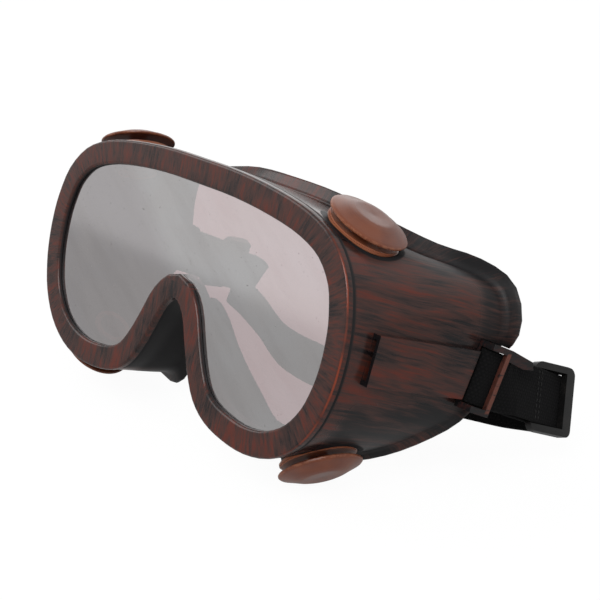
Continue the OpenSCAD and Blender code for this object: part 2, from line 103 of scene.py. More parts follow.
@dataclass(frozen=True)
class Stance:
    """How the goggles lean back on the table, as in the part's source."""

    tilt: float = radians(15.0)
    stand: float = 50.6331
    middle: float = 41.1593

    @property
    def up(self) -> Array:
        """The table's upward direction, as seen by the upright goggles."""
        return np.array([0.0, -sin(self.tilt), cos(self.tilt)])

    def to_row(self, points: Array) -> Array:
        """Turns points of the upright goggles into points on the table.

        Args:
            points: rows of x, y, z in millimetres, before the goggles lean back.

        Returns:
            The same rows in metres, in the CAD frame.
        """
        c, s = cos(self.tilt), sin(self.tilt)
        x, y, z = points.T
        leaned = np.stack([x, y * c + z * s - self.middle, self.stand - y * s + z * c], 1)
        return leaned * MM

    def upright(self, draw: Drawing) -> Signal:
        """The place on the surface, with the lean taken out.

        Args:
            draw: the drawing.

        Returns:
            The place as a vector, in millimetres.
        """
        c, s = cos(self.tilt), sin(self.tilt)
        shift = (0.0, self.middle * c + self.stand * s, self.middle * s - self.stand * c)
        made = draw.node("ShaderNodeMapping", {"vector_type": "POINT"}, Vector=draw.place,
                         Location=shift, Rotation=(self.tilt, 0.0, 0.0), Scale=(1.0 / MM,) * 3)
        return Signal(draw, made.outputs[0])

    def upright_normal(self, draw: Drawing) -> Signal:
        """The surface's own normal with the lean taken out."""
        made = draw.node("ShaderNodeMapping", {"vector_type": "NORMAL"}, Vector=draw.normal,
                         Rotation=(self.tilt, 0.0, 0.0), Scale=(1.0,) * 3)
        return Signal(draw, made.outputs[0])


STANCE = Stance()


class Signal:
    """A socket of a material that can be used in Python expressions."""

    def __init__(self, draw: Drawing, socket: Socket) -> None:
        """Wraps an output socket of a drawing."""
        self.draw = draw
        self.socket = socket

    def __add__(self, other: Value) -> Signal:
        """Sum."""
        return self.draw.maths("ADD", self, other)

    __radd__ = __add__

    def __sub__(self, other: Value) -> Signal:
        """Difference."""
        return self.draw.maths("SUBTRACT", self, other)

    def __rsub__(self, other: Value) -> Signal:
        """Difference, reflected."""
        return self.draw.maths("SUBTRACT", other, self)

    def __mul__(self, other: Value) -> Signal:
        """Product."""
        return self.draw.maths("MULTIPLY", self, other)

    __rmul__ = __mul__

    def __truediv__(self, other: Value) -> Signal:
        """Quotient."""
        return self.draw.maths("DIVIDE", self, other)

    def __rtruediv__(self, other: Value) -> Signal:
        """Quotient, reflected."""
        return self.draw.maths("DIVIDE", other, self)

    def __neg__(self) -> Signal:
        """The negative."""
        return self.draw.maths("MULTIPLY", self, -1.0)

    def __abs__(self) -> Signal:
        """The size without its sign."""
        return self.draw.maths("ABSOLUTE", self)


Value = Signal | float | tuple[float, ...]


class Drawing:
    """A material being drawn: its nodes, and the sums that join them."""

    def __init__(self, tree: bpy.types.NodeTree) -> None:
        """Starts with an empty tree.

        Args:
            tree: the node tree to fill.
        """
        self.tree = tree
        tree.nodes.clear()
        where = self.node("ShaderNodeTexCoord")
        self.place = Signal(self, where.outputs["Object"])
        self.normal = Signal(self, where.outputs["Normal"])

    def node(self, kind: str, settings: dict[str, Any] | None = None,
             **sockets: Value) -> bpy.types.Node:
        """Makes a node.

        Args:
            kind: the node's type.
            settings: its own settings.
            **sockets: values or links for its inputs, by name, or by number as s0, s1 and on.

        Returns:
            The node.
        """
        made = self.tree.nodes.new(kind)
        for name, value in (settings or {}).items():
            setattr(made, name, value)
        for name, value in sockets.items():
            label = name.replace("_", " ")
            numbered = name[0] == "s" and name[1:].isdigit()
            target = made.inputs[int(name[1:])] if numbered else made.inputs[label]
            self.feed(target, value)
        return made

    def feed(self, target: Socket, value: Value) -> None:
        """Links or sets an input.

        Args:
            target: the input socket.
            value: a signal, a number, or a tuple for a vector or colour.
        """
        if isinstance(value, Signal):
            self.tree.links.new(value.socket, target)
        elif target.type == "RGBA" and isinstance(value, tuple) and len(value) == 3:
            target.default_value = (*value, 1.0)
        else:
            target.default_value = value

    def maths(self, operation: str, *values: Value) -> Signal:
        """A Math node on numbers."""
        fed = {f"s{i}": v for i, v in enumerate(values)}
        return Signal(self, self.node("ShaderNodeMath", {"operation": operation}, **fed).outputs[0])

    def vector(self, operation: str, a: Value, b: Value) -> Signal:
        """A Vector Math node.

        Args:
            operation: the node's operation.
            a: the first vector.
            b: the second vector.

        Returns:
            A vector, or a number for a dot product, length or distance.
        """
        made = self.node("ShaderNodeVectorMath", {"operation": operation}, s0=a, s1=b)
        number = operation in ("DOT_PRODUCT", "LENGTH", "DISTANCE")
        return Signal(self, made.outputs["Value" if number else "Vector"])

    def split(self, value: Signal) -> tuple[Signal, Signal, Signal]:
        """The three numbers of a vector."""
        made = self.node("ShaderNodeSeparateXYZ", None, Vector=value)
        return tuple(Signal(self, out) for out in made.outputs)

    def join(self, x: Value, y: Value, z: Value) -> Signal:
        """A vector from three numbers."""
        return Signal(self, self.node("ShaderNodeCombineXYZ", None, X=x, Y=y, Z=z).outputs[0])

    def step(self, value: Value, low: float, high: float) -> Signal:
        """A soft step from 0 at low to 1 at high.

        Args:
            value: what is compared.
            low: where the step starts.
            high: where it ends, which may be the smaller.

        Returns:
            The step's height, from 0 to 1.
        """
        flip = low > high
        made = self.node("ShaderNodeMapRange", {"interpolation_type": "SMOOTHSTEP"}, s0=value,
                         s1=min(low, high), s2=max(low, high), s3=float(flip), s4=float(not flip))
        return Signal(self, made.outputs[0])

    def blend(self, factor: Value, a: Value, b: Value) -> Signal:
        """A colour between a, at factor 0, and b, at factor 1."""
        made = self.node("ShaderNodeMix", {"data_type": "RGBA"}, s0=factor, s6=a, s7=b)
        return Signal(self, made.outputs[2])

    def noise(self, at: Signal, scale: float, detail: float, rough: float) -> Signal:
        """Noise about 0.5: its features per unit of at, and how many and strong its finer ones."""
        made = self.node("ShaderNodeTexNoise", {"noise_dimensions": "3D"}, Vector=at,
                         Scale=scale, Detail=detail, Roughness=rough)
        return Signal(self, made.outputs[0])

    def bump(self, height: Signal, reach: float, strength: float) -> Signal:
        """A normal bent by a height of which 1 stands for reach metres."""
        made = self.node("ShaderNodeBump", None, Strength=strength, Distance=reach, Height=height)
        return Signal(self, made.outputs[0])

    def mix(self, factor: Value, first: Socket, second: Socket) -> Socket:
        """Mixes two shaders.

        Args:
            factor: how much of the second shows, from 0 to 1.
            first: the first shader.
            second: the second shader.

        Returns:
            The mixed shader's socket.
        """
        made = self.node("ShaderNodeMixShader", None, s0=factor)
        self.tree.links.new(first, made.inputs[1])
        self.tree.links.new(second, made.inputs[2])
        return made.outputs[0]

    def surface(self, shader: Socket, kind: str = "ShaderNodeOutputMaterial") -> None:
        """Ends the drawing with this shader."""
        out = self.node(kind)
        self.tree.links.new(shader, out.inputs["Surface"])

    def principled(self, **sockets: Value) -> Socket:
        """A Principled shader with these inputs."""
        return self.node("ShaderNodeBsdfPrincipled", None, **sockets).outputs[0]


@dataclass(frozen=True)
class Finish:
    """A finish: a named material drawn with nodes."""

    name: str

    def draw(self, d: Drawing) -> Socket:
        """Draws the finish, and returns its shader."""
        raise NotImplementedError

    def material(self) -> bpy.types.Material:
        """Makes the material.

        Returns:
            The material, with its nodes.
        """
        made = bpy.data.materials.new(self.name)
        made.use_nodes = True
        d = Drawing(made.node_tree)
        d.surface(self.draw(d))
        return made


@dataclass(frozen=True)
class Layer:
    """Noise that is stretched: how fast it changes each way per millimetre, and its share."""

    rate: Point
    share: float = 1.0
    detail: float = 2.0
    rough: float = 0.5

    def read(self, d: Drawing, *place: Value) -> Signal:
        """The noise, about 0.5, at a place that three lengths in millimetres tell."""
        at = d.join(*(length * rate for length, rate in zip(place, self.rate)))
        return d.noise(at, 1.0, self.detail, self.rough)


@dataclass(frozen=True)
class Grit:
    """Noise that is the same in every direction: its features per metre, and how fine it is."""

    scale: float
    detail: float = 2.0
    rough: float = 0.5

    def read(self, d: Drawing) -> Signal:
        """The noise, about 0.5."""
        return d.noise(d.place, self.scale, self.detail, self.rough)


@dataclass(frozen=True)
class Spot:
    """A place on the frame, in millimetres before the lean, and which way its surface faces."""

    x: Signal
    y: Signal
    z: Signal
    along: Signal
    out: Signal
    forward: Signal
    outward: Signal


@dataclass(frozen=True)
class Outline:
    """The slot-shaped line between the middles of the two eyes that the rim runs round."""

    half: float = 42.0
    bend: float = 38.0

    def spot(self, d: Drawing) -> Spot:
        """Reads a place by how far it lies along the rim, and how far out of the line.

        Args:
            d: the drawing.

        Returns:
            The place.
        """
        x, y, z = d.split(STANCE.upright(d))
        nx, ny, nz = d.split(STANCE.upright_normal(d))
        held = d.maths("MAXIMUM", d.maths("MINIMUM", x, self.half), -self.half)
        u = x - held
        out = d.maths("MAXIMUM", d.maths("SQRT", u * u + z * z), 1.0)
        turn = d.maths("ARCTAN2", abs(u), z)
        outward = nx * (u / out) + nz * (z / out)
        return Spot(x, y, z, held + turn * self.bend, out, -ny, outward)


@dataclass(frozen=True)
class Zone:
    """A part of both halves of the frame, and how much darker and duller it is there.

    Its edges are soft steps across, back and up, in millimetres.
    """

    x: Edge | None = None
    y: Edge | None = None
    z: Edge | None = None
    dark: float = 0.0
    matt: float = 0.0

    def mask(self, d: Drawing, spot: Spot) -> Signal:
        """Tells the zone from the rest.

        Args:
            d: the drawing.
            spot: the place.

        Returns:
            1 in the zone and 0 outside it.
        """
        made: Value = 1.0
        for place, edge in ((abs(spot.x), self.x), (spot.y, self.y), (spot.z, self.z)):
            if edge:
                made = made * d.step(place, *edge)
        return made


@dataclass(frozen=True)
class WornAndLitEdgeLine:
    """The rim's rounded outer edge, worn to a bright line towards both ends, which is also a
    painted highlight where the edge faces outward.
    """

    colour: Colour = (0.230, 0.040, 0.016)
    turning: Edge = (0.2, 0.5)
    turned: Edge = (0.98, 0.9)
    outward: Edge = (0.45, 0.75)
    zone: Zone = Zone(x=(60.0, 78.0), y=(1.6, 1.1))
    wear: Layer = Layer((0.06, 0.06, 0.06))
    gaps: Edge = (0.34, 0.60)

    def mask(self, d: Drawing, spot: Spot) -> Signal:
        """Tells the line from the rest.

        Args:
            d: the drawing.
            spot: the place.

        Returns:
            1 on the line and 0 beside it.
        """
        edge = d.step(spot.forward, *self.turning) * d.step(spot.forward, *self.turned)
        worn = d.step(self.wear.read(d, spot.x, spot.y, spot.z), *self.gaps)
        return edge * d.step(spot.outward, *self.outward) * self.zone.mask(d, spot) * worn


@dataclass(frozen=True)
class PlainBlack:
    """Where the frame's plastic is left black, and where black is painted as shade round the vents'
    necks and on the sleeves' slits, in millimetres before the lean.
    """

    faces_in: Edge = (-0.15, -0.5)
    inside: Zone = Zone(y=(0.4, 1.2))
    nose: Zone = Zone(x=(27.0, 22.0), y=(2.0, 3.2), z=(-2.0, -6.0))
    groove: tuple[Edge, Edge] = ((1.9, 2.5), (3.9, 3.3))
    neck_and_shadow_across: Edge = (13.9, 13.3)
    neck_and_shadow_along: Edge = (-14.0, -12.0)
    slit: Zone = Zone(x=(66.0, 70.0), y=(6.0, 8.0))
    slit_faces: Edge = (0.4, 0.6)
    slit_middle: float = -3.0
    slit_half: Edge = (12.0, 10.0)

    def mask(self, d: Drawing, spot: Spot) -> Signal:
        """Finds the inside, the nose's underside, the groove behind the rim, and the vents' necks
        with the painted shadow of each ring on the skirt round them.

        Args:
            d: the drawing.
            spot: the place.

        Returns:
            1 where the plastic is plain and 0 where it is brushed.
        """
        inside = d.step(spot.outward, *self.faces_in) * self.inside.mask(d, spot)
        plain = d.maths("MAXIMUM", inside, self.nose.mask(d, spot))
        front, back = self.groove
        plain = d.maths("MAXIMUM", plain, d.step(spot.y, *front) * d.step(spot.y, *back))
        # Painted shadow: the black round each vent's neck reaches over the skirt where the ring's
        # shadow falls.
        for vent in VentPlace:
            across, height = vent.across_and_along(d, (spot.x, spot.y, spot.z))
            neck_and_shadow = d.step(across, *self.neck_and_shadow_across) * d.step(height, *self.neck_and_shadow_along)
            plain = d.maths("MAXIMUM", plain, neck_and_shadow)
        return plain

    def slit_shade_mask(self, d: Drawing, spot: Spot) -> Signal:
        """Painted shade: 1 on the forward-facing face in the slot's end in front of each strap
        sleeve, and 0 outside it.
        """
        ahead = d.step(spot.forward, *self.slit_faces) * self.slit.mask(d, spot)
        return ahead * d.step(abs(spot.z - self.slit_middle), *self.slit_half)


@dataclass(frozen=True)
class FlameGrain(Finish):
    """Glossy black plastic brushed with rust-red streaks across the rim and along the sides."""

    rust: Colour = (0.112, 0.020, 0.011)
    brown: Colour = (0.054, 0.0235, 0.0190)
    black: Colour = (0.0072, 0.0066, 0.0076)
    wander: Layer = Layer((0.035, 0.03, 0.04), 4.0, detail=1.0)
    broad: Layer = Layer((0.09, 0.035, 0.05), 0.50)
    streak: Layer = Layer((0.50, 0.040, 0.10), 0.40)
    brush: Layer = Layer((1.5, 0.085, 0.20), 0.34)
    hair: Layer = Layer((4.4, 0.17, 0.40), 0.26, rough=0.55)
    gleam: Layer = Layer((0.05, 0.05, 0.05), 0.08)
    slant: float = 0.13
    sideways: float = 0.2
    warm: Edge = (0.31, 0.53)
    hot: Edge = (0.47, 0.66)
    zones: tuple[Zone, ...] = (
        Zone(y=(6.0, 12.0), z=(-8.0, -21.0), dark=0.13, matt=0.208),
        Zone(x=(50.0, 60.0), y=(6.0, 12.0), z=(21.0, 29.0), dark=0.12, matt=0.416),
        Zone(y=(47.0, 52.0), dark=0.10, matt=0.26),
    )
    rough: float = 0.16
    hot_gloss: float = 0.02
    plain_matt: float = 0.34
    relief: Relief = (0.00004, 0.4)

    def draw(self, d: Drawing) -> Socket:
        """Draws the streaks, the worn edge line with its painted highlight, the plain black places
        with their painted shade, and the gloss.

        Args:
            d: the drawing.

        Returns:
            The shader.
        """
        spot = Outline().spot(d)
        y, out = spot.y, spot.out
        stray = (self.wander.read(d, spot.along, y, out) - 0.5) * self.wander.share
        s = spot.along + stray - y * self.slant
        broad = self.broad.read(d, s, y, out + spot.x * self.sideways)
        streak, brush, hair = (layer.read(d, s, y, out)
                               for layer in (self.streak, self.brush, self.hair))
        level = streak * self.streak.share + brush * self.brush.share + hair * self.hair.share
        level = level + (broad - 0.5) * self.broad.share
        rough = self.rough + self.gleam.read(d, spot.x, y, spot.z) * self.gleam.share
        for zone in self.zones:
            mask = zone.mask(d, spot)
            level = level - mask * zone.dark
            rough = rough + mask * zone.matt
        hot = d.step(level, *self.hot)
        tint = d.blend(d.step(level, *self.warm), self.black, self.brown)
        tint = d.blend(hot, tint, self.rust)
        line, bare = WornAndLitEdgeLine(), PlainBlack()
        # Painted highlight and wear: a bright line on the rim's outer edge where it faces outward.
        tint = d.blend(line.mask(d, spot), tint, line.colour)
        plain = bare.mask(d, spot)
        # Painted shade: the plain places and the sleeves' slits are painted black.
        tint = d.blend(d.maths("MAXIMUM", plain, bare.slit_shade_mask(d, spot)), tint, self.black)
        return d.principled(Base_Color=tint, IOR=1.42,
                            Roughness=rough - hot * self.hot_gloss + plain * self.plain_matt,
                            Normal=d.bump(hair * 0.5 + brush * 0.6, *self.relief))


@dataclass(frozen=True)
class ClipGrain(Finish):
    """The strap clip's finish: the frame's colours, worn to copper on the rear bar."""

    rust: Colour = FlameGrain.rust
    black: Colour = FlameGrain.black
    copper: Colour = (0.140, 0.040, 0.024)
    cloud: Layer = Layer((0.5, 0.12, 0.45), detail=4.0, rough=0.6)
    hair: Layer = Layer((2.2, 0.3, 1.8), detail=3.0, rough=0.6)
    warm: Edge = (0.50, 0.68)
    warm_share: float = 0.25
    pin_height: float = -3.0
    dip: float = radians(12.0)
    bar_front: Edge = (55.5, 55.9)
    bar_rear: Edge = (57.6, 57.2)
    bar_middle: float = -4.0
    bar_half: Edge = (9.6, 8.8)
    bar_wear: Edge = (0.46, 0.62)
    rough: float = 0.34
    rough_cloud: float = 0.16
    relief: Relief = (0.00005, 0.5)

    def draw(self, d: Drawing) -> Socket:
        """Draws dark streaks with a copper bar behind the webbing's loop.

        Args:
            d: the drawing.

        Returns:
            The shader.
        """
        x, y, z = d.split(STANCE.upright(d))
        back = y + (z - self.pin_height) * -tan(self.dip)
        cloud = self.cloud.read(d, x, y, z)
        hair = self.hair.read(d, x, y, z)
        warm = d.step(cloud * 0.7 + hair * 0.4, *self.warm)
        tint = d.blend(warm * self.warm_share, self.black, self.rust)
        bar = d.step(back, *self.bar_front) * d.step(back, *self.bar_rear)
        bar = bar * d.step(abs(z - self.bar_middle), *self.bar_half)
        bar = bar * d.step(cloud + hair * 0.4, *self.bar_wear)
        return d.principled(Base_Color=d.blend(bar, tint, self.copper), IOR=1.42,
                            Roughness=self.rough + cloud * self.rough_cloud,
                            Normal=d.bump(cloud + hair, *self.relief))


@dataclass(frozen=True)
class CopperGloss(Finish):
    """Copper-coloured gloss plastic of a vent's cap or ring, brighter where its edge is worn, and
    darker below the cap's rim as painted shade.
    """

    vent: VentPlace = VentPlace.UPPER
    copper: Colour = (0.205, 0.053, 0.019)
    shade: Colour = (0.105, 0.022, 0.010)
    worn: Colour = (0.42, 0.17, 0.085)
    cloud: Grit = Grit(95.0, 3.0, 0.55)
    fleck: Grit = Grit(900.0, 3.0, 0.6)
    speck: Grit = Grit(2600.0, 1.0)
    pits: Grit = Grit(420.0)
    turning: Layer = Layer((2.6, 0.4, 0.0), detail=3.0, rough=0.6)
    cloudy: Edge = (0.38, 0.70)
    least: float = 0.35
    shaded_underside: Edge = (-0.85, -1.6)
    rim: Edge = (12.35, 12.7)
    chips: Edge = (0.40, 0.62)
    specks: Edge = (0.735, 0.77)
    rough: float = 0.23
    rough_cloud: float = 0.14
    rough_fleck: float = 0.05
    relief: Relief = (0.00005, 0.5)

    def draw(self, d: Drawing) -> Socket:
        """Draws cloudy copper with faint turning marks and a worn edge, darker below the cap's rim
        as painted shade.

        Args:
            d: the drawing.

        Returns:
            The shader.
        """
        across, height = self.vent.across_and_along(d, d.split(STANCE.upright(d)))
        cloud, fleck = self.cloud.read(d), self.fleck.read(d)
        turned = self.turning.read(d, across, height, 0.0)
        full = d.step(cloud * 0.8 + turned * 0.3, *self.cloudy)
        tint = d.blend(self.least + full * (1.0 - self.least), self.shade, self.copper)
        # Painted shade: darker below the cap's rim.
        tint = d.blend(d.step(height, *self.shaded_underside) * 0.35, tint, self.shade)
        rim = d.step(across, *self.rim) * d.step(fleck, *self.chips)
        tint = d.blend(rim * 0.35, tint, self.worn)
        tint = d.blend(d.step(self.speck.read(d), *self.specks) * 0.5, tint, self.shade)
        rough = self.rough + cloud * self.rough_cloud + fleck * self.rough_fleck
        return d.principled(Base_Color=tint, Roughness=rough, IOR=1.48,
                            Normal=d.bump(turned * 0.7 + self.pits.read(d) * 0.6, *self.relief))


@dataclass(frozen=True)
class MirrorPane(Finish):
    """The pane: clear rose plastic with a light grey mirror coat on its front face."""

    coat: Colour = (0.800, 0.790, 0.795)
    # painted reflection: the coat's darker side of a lamp's edge
    dim: Colour = (0.700, 0.672, 0.680)
    warm: Colour = (0.760, 0.720, 0.705)
    smear: Colour = (0.56, 0.53, 0.52)
    dirt: Colour = (0.2, 0.18, 0.18)
    rose: Colour = (0.965, 0.755, 0.775)
    see_through: float = 0.18
    back_mirror: float = 0.04
    face: Edge = (2.2, 1.9)
    haze: Layer = Layer((0.02, 0.0, 0.035), 0.4, detail=3.0)
    wipe: Layer = Layer((0.05, 0.0, 0.02), 0.16, detail=4.0, rough=0.6)
    dust: Grit = Grit(1500.0, 0.0)
    hazy: Edge = (0.40, 0.62)
    wiped: Edge = (0.42, 0.66)
    thin: Edge = (0.5, 0.8)
    thin_share: float = 0.03
    dusty: Edge = (0.80, 0.84)
    reflection_edge_across: float = 0.62
    reflection_edge_up: float = 0.78
    reflection_edge: Edge = (-9.0, 5.0)

    def draw(self, d: Drawing) -> Socket:
        """Draws the coat over the clear pane, with faint haze, wipe marks and dust.

        Args:
            d: the drawing.

        Returns:
            Draws the coat over the clear pane, with a painted reflection of a lamp's edge dimming
            it along a diagonal, and faint haze, wipe marks and dust.
        """
        x, y, z = d.split(STANCE.upright(d))
        haze = self.haze.read(d, x, y, z)
        wipe = self.wipe.read(d, x + z * 1.8, 0.0, z - x * 0.5)
        dust = d.step(self.dust.read(d), *self.dusty)
        # Painted reflection: the coat is dimmer on one side of a diagonal edge.
        reflection_edge = d.step(x * self.reflection_edge_across + z * self.reflection_edge_up, *self.reflection_edge)
        tint = d.blend(reflection_edge, self.dim, self.coat)
        tint = d.blend(d.step(haze, *self.hazy) * self.haze.share, tint, self.warm)
        tint = d.blend(d.step(wipe, *self.wiped) * self.wipe.share, tint, self.smear)
        tint = d.blend(dust * 0.4, tint, self.dirt)
        rough = 0.05 + haze * 0.05 + dust * 0.2
        mirror = d.principled(Base_Color=tint, Metallic=1.0, Roughness=rough)
        clear = d.node("ShaderNodeBsdfTransparent", None, Color=self.rose).outputs[0]
        front = d.step(y, *self.face)
        coated = 1.0 - self.see_through - d.step(wipe, *self.thin) * self.thin_share
        return d.mix(front * coated + (1.0 - front) * self.back_mirror, clear, mirror)


@dataclass(frozen=True)
class MouldedBlack(Finish):
    """Black moulded plastic with a fine grain, greyer and browner where it is rubbed."""

    black: Colour = (0.0036, 0.0034, 0.0034)
    rubbed: Colour = (0.012, 0.010, 0.009)
    cloud: Grit = Grit(160.0, 4.0, 0.6)
    grit: Grit = Grit(2400.0, 2.0, 0.6)
    rubbed_from: Edge = (0.5, 0.72)
    rubbed_share: float = 0.7
    rough: float = 0.34
    rough_cloud: float = 0.2
    relief: Relief = (0.00004, 0.6)

    def draw(self, d: Drawing) -> Socket:
        """Draws the grain and the rubbed places.

        Args:
            d: the drawing.

        Returns:
            The shader.
        """
        cloud, grit = self.cloud.read(d), self.grit.read(d)
        rubbed = d.step(cloud, *self.rubbed_from) * self.rubbed_share
        return d.principled(Base_Color=d.blend(rubbed, self.black, self.rubbed), IOR=1.46,
                            Roughness=self.rough + cloud * self.rough_cloud,
                            Normal=d.bump(grit + cloud * 0.6, *self.relief))


@dataclass(frozen=True)
class ElasticWeave(Finish):
    """Black elastic webbing: ribs that run along it, crossed by tight weft, with a soft sheen."""

    yarn: Colour = (0.0026, 0.0025, 0.0028)
    worn: Colour = (0.0070, 0.0066, 0.0070)
    weft: float = 1.15
    ribs: float = 17.0
    fuzz: Grit = Grit(5200.0, 2.0, 0.7)
    cloud: Grit = Grit(240.0, 3.0, 0.6)
    twist_rate: float = 9.0
    twist_slant: float = 5.0
    worn_from: Edge = (0.5, 1.5)
    worn_share: float = 0.8
    rough: float = 0.80
    relief: Relief = (0.00010, 0.8)

    def draw(self, d: Drawing) -> Socket:
        """Draws the weave from the band's own coordinates, across and along.

        Args:
            d: the drawing.

        Returns:
            The shader.
        """
        kept = d.node("ShaderNodeAttribute", {"attribute_name": BAND})
        across, along, _ = d.split(Signal(d, kept.outputs["Vector"]))
        rib = d.maths("FRACT", across * self.ribs)
        odd = d.maths("FLOORED_MODULO", d.maths("FLOOR", across * self.ribs), 2.0)
        pick = d.maths("SINE", along * (2.0 * pi / self.weft) + odd * pi)
        crown = d.maths("SINE", rib * pi)
        twist = d.maths("SINE", along * self.twist_rate + rib * self.twist_slant)
        fuzz, cloud = self.fuzz.read(d), self.cloud.read(d)
        height = crown * 0.5 + pick * crown * 0.45 + twist * 0.12 + fuzz * 0.35
        worn = d.step(height + cloud * 0.6, *self.worn_from) * self.worn_share
        return d.principled(Base_Color=d.blend(worn, self.yarn, self.worn), IOR=1.25,
                            Roughness=self.rough + fuzz * 0.2,
                            Sheen_Weight=0.015, Sheen_Roughness=0.5,
                            Normal=d.bump(height, *self.relief))


@dataclass(frozen=True)
class SewingThread(Finish):
    """Black twisted sewing thread, a little shinier than the webbing."""

    dark: Colour = (0.003, 0.003, 0.003)
    light: Colour = (0.009, 0.008, 0.008)
    twist_rate: float = 9000.0
    rough: float = 0.72
    relief: Relief = (0.00004, 0.7)

    def draw(self, d: Drawing) -> Socket:
        """Draws the twist of the thread.

        Args:
            d: the drawing.

        Returns:
            The shader.
        """
        ply = d.maths("SINE", d.vector("DOT_PRODUCT", d.place, (self.twist_rate,) * 3))
        tint = d.blend(ply * 0.5 + 0.5, self.dark, self.light)
        return d.principled(Base_Color=tint, Roughness=self.rough,
                            Normal=d.bump(ply, *self.relief))


def soften(obj: Piece, sharp: float, bevel: float = 0.0) -> None:
    """Smooths a CAD node's shading with modifiers alone, and may round its edges a little.

    Args:
        obj: the CAD node's object.
        sharp: edges that turn by more than this, in degrees, stay sharp.
        bevel: the rounding's width in metres, or 0 for none.
    """
    group = bpy.data.node_groups.new(f"soften_{obj.name}", "GeometryNodeTree")
    for way in ("INPUT", "OUTPUT"):
        group.interface.new_socket("Geometry", in_out=way, socket_type="NodeSocketGeometry")
    nodes, links = group.nodes, group.links
    chain = [nodes.new(kind) for kind in (
        "NodeGroupInput", "GeometryNodeMergeByDistance", "GeometryNodeRemoveAttribute",
        "GeometryNodeSetShadeSmooth", "GeometryNodeSetShadeSmooth", "NodeGroupOutput")]
    _, merge, drop, _, crease, _ = chain
    merge.inputs["Distance"].default_value = MERGE_WITHIN
    drop.inputs["Name"].default_value = "custom_normal"
    crease.domain = "EDGE"
    crease.inputs["Shade Smooth"].default_value = False
    angle = nodes.new("GeometryNodeInputMeshEdgeAngle")
    test = nodes.new("FunctionNodeCompare")
    test.operation = "GREATER_THAN"
    test.inputs[1].default_value = radians(sharp)
    links.new(angle.outputs["Unsigned Angle"], test.inputs[0])
    links.new(test.outputs[0], crease.inputs["Selection"])
    for a, b in zip(chain, chain[1:]):
        links.new(a.outputs[0], b.inputs[0])
    obj.modifiers.new("soften", "NODES").node_group = group
    if bevel:
        rounding = obj.modifiers.new("round", "BEVEL")
        rounding.width = bevel
        rounding.segments = BEVEL_STEPS
        rounding.limit_method = "ANGLE"
        rounding.angle_limit = radians(sharp)
    weighted = obj.modifiers.new("weight", "WEIGHTED_NORMAL")
    weighted.keep_sharp = True
    weighted.weight = FACE_WEIGHT


def dress(obj: Piece, material: bpy.types.Material) -> None:
    """Gives a piece its material.

    Args:
        obj: the piece.
        material: its material.
    """
    obj.data.materials.clear()
    obj.data.materials.append(material)


def tube_faces(rows: int, ring: int, base: int = 0) -> list[list[int]]:
    """The faces of a closed tube.

    Args:
        rows: how many rings of points it has.
        ring: how many points each ring has.
        base: the number of its first point.

    Returns:
        The points of each face: the sides, then both ends.
    """
    i, j = np.meshgrid(np.arange(rows - 1), np.arange(ring), indexing="ij")
    a, b = base + i * ring + j, base + i * ring + (j + 1) % ring
    sides = np.stack([a, b, b + ring, a + ring], -1).reshape(-1, 4).tolist()
    end = base + (rows - 1) * ring
    return sides + [list(range(base + ring - 1, base - 1, -1)), list(range(end, end + ring))]


def mesh_piece(name: str, points: Array, faces: Sequence[Sequence[int]]) -> Piece:
    """Makes a smooth-shaded mesh object in the CAD frame.

    Args:
        name: the piece's name.
        points: its points in metres.
        faces: the points of each face.

    Returns:
        The object, linked to the scene.
    """
    mesh = bpy.data.meshes.new(name)
    mesh.from_pydata(points.tolist(), [], faces)
    mesh.polygons.foreach_set("use_smooth", [True] * len(mesh.polygons))
    mesh.update()
    made = bpy.data.objects.new(name, mesh)
    bpy.context.scene.collection.objects.link(made)
    return made


@dataclass
class Shell:
    """The moulded frame and its pane, carried over from the CAD with their finishes."""

    nodes: dict[str, Piece]
    frame_sharp: float = 48.0
    lens_sharp: float = 40.0

    def build(self) -> list[Piece]:
        """Dresses the frame and the pane.

        Returns:
            Both pieces.
        """
        frame, lens = self.nodes["frame"], self.nodes["lens"]
        soften(frame, self.frame_sharp)
        dress(frame, FlameGrain("brushed_frame").material())
        soften(lens, self.lens_sharp)
        dress(lens, MirrorPane("mirror_pane").material())
        return [frame, lens]


@dataclass
class Vents:
    """The four vents: seat, cap and keeper each."""

    nodes: dict[str, Piece]
    sharp: float = 38.0
    # Painted light: the rings' copper is brighter than the caps' to stand in for light falling on
    # them.
    ring_copper: Colour = (0.42, 0.145, 0.070)
    ring_darker_lit: Colour = (0.26, 0.080, 0.038)

    def build(self) -> list[Piece]:
        """Dresses the caps, their rings in a brighter copper painted as lit, and the keepers
        inside.

        Returns:
            All the vents' pieces.
        """
        made = []
        black = MouldedBlack("keeper_black", rough=0.5).material()
        for vent in VentPlace:
            level = vent.name.lower()
            copper = CopperGloss(f"copper_{level}", vent).material()
            # Painted light: each ring's material is a lit copy of the caps' copper.
            ring = CopperGloss(f"ring_{level}", vent, self.ring_copper, self.ring_darker_lit).material()
            for side in Side:
                tail = f"{level}_{side.name.lower()}"
                for kind, material, slot in (("cap", copper, "vent_copper"),
                                             ("seat", ring, "vent_copper"),
                                             ("keeper", black, "vent_black")):
                    node = self.nodes[f"vent_{kind}_{tail}"]
                    soften(node, self.sharp)
                    dress(node, material)
                    made.append(node)
        return made


@dataclass
class SideFittings:
    """Both sides' strap clips and ladder buckles."""

    nodes: dict[str, Piece]
    sharp: float = 25.0
    edge: float = 0.00030

    def build(self) -> list[Piece]:
        """Dresses the clips and buckles, with their edges rounded.

        Returns:
            The clips and buckles.
        """
        made = []
        grain = ClipGrain("brushed_clip").material()
        satin = MouldedBlack("buckle_satin", rough=0.30).material()
        for side in Side:
            for kind, material, slot in (("strap_clip", grain, "clip"),
                                         ("buckle", satin, "buckle")):
                node = self.nodes[f"{kind}_{side.name.lower()}"]
                soften(node, self.sharp, self.edge)
                dress(node, material)
                made.append(node)
        return made


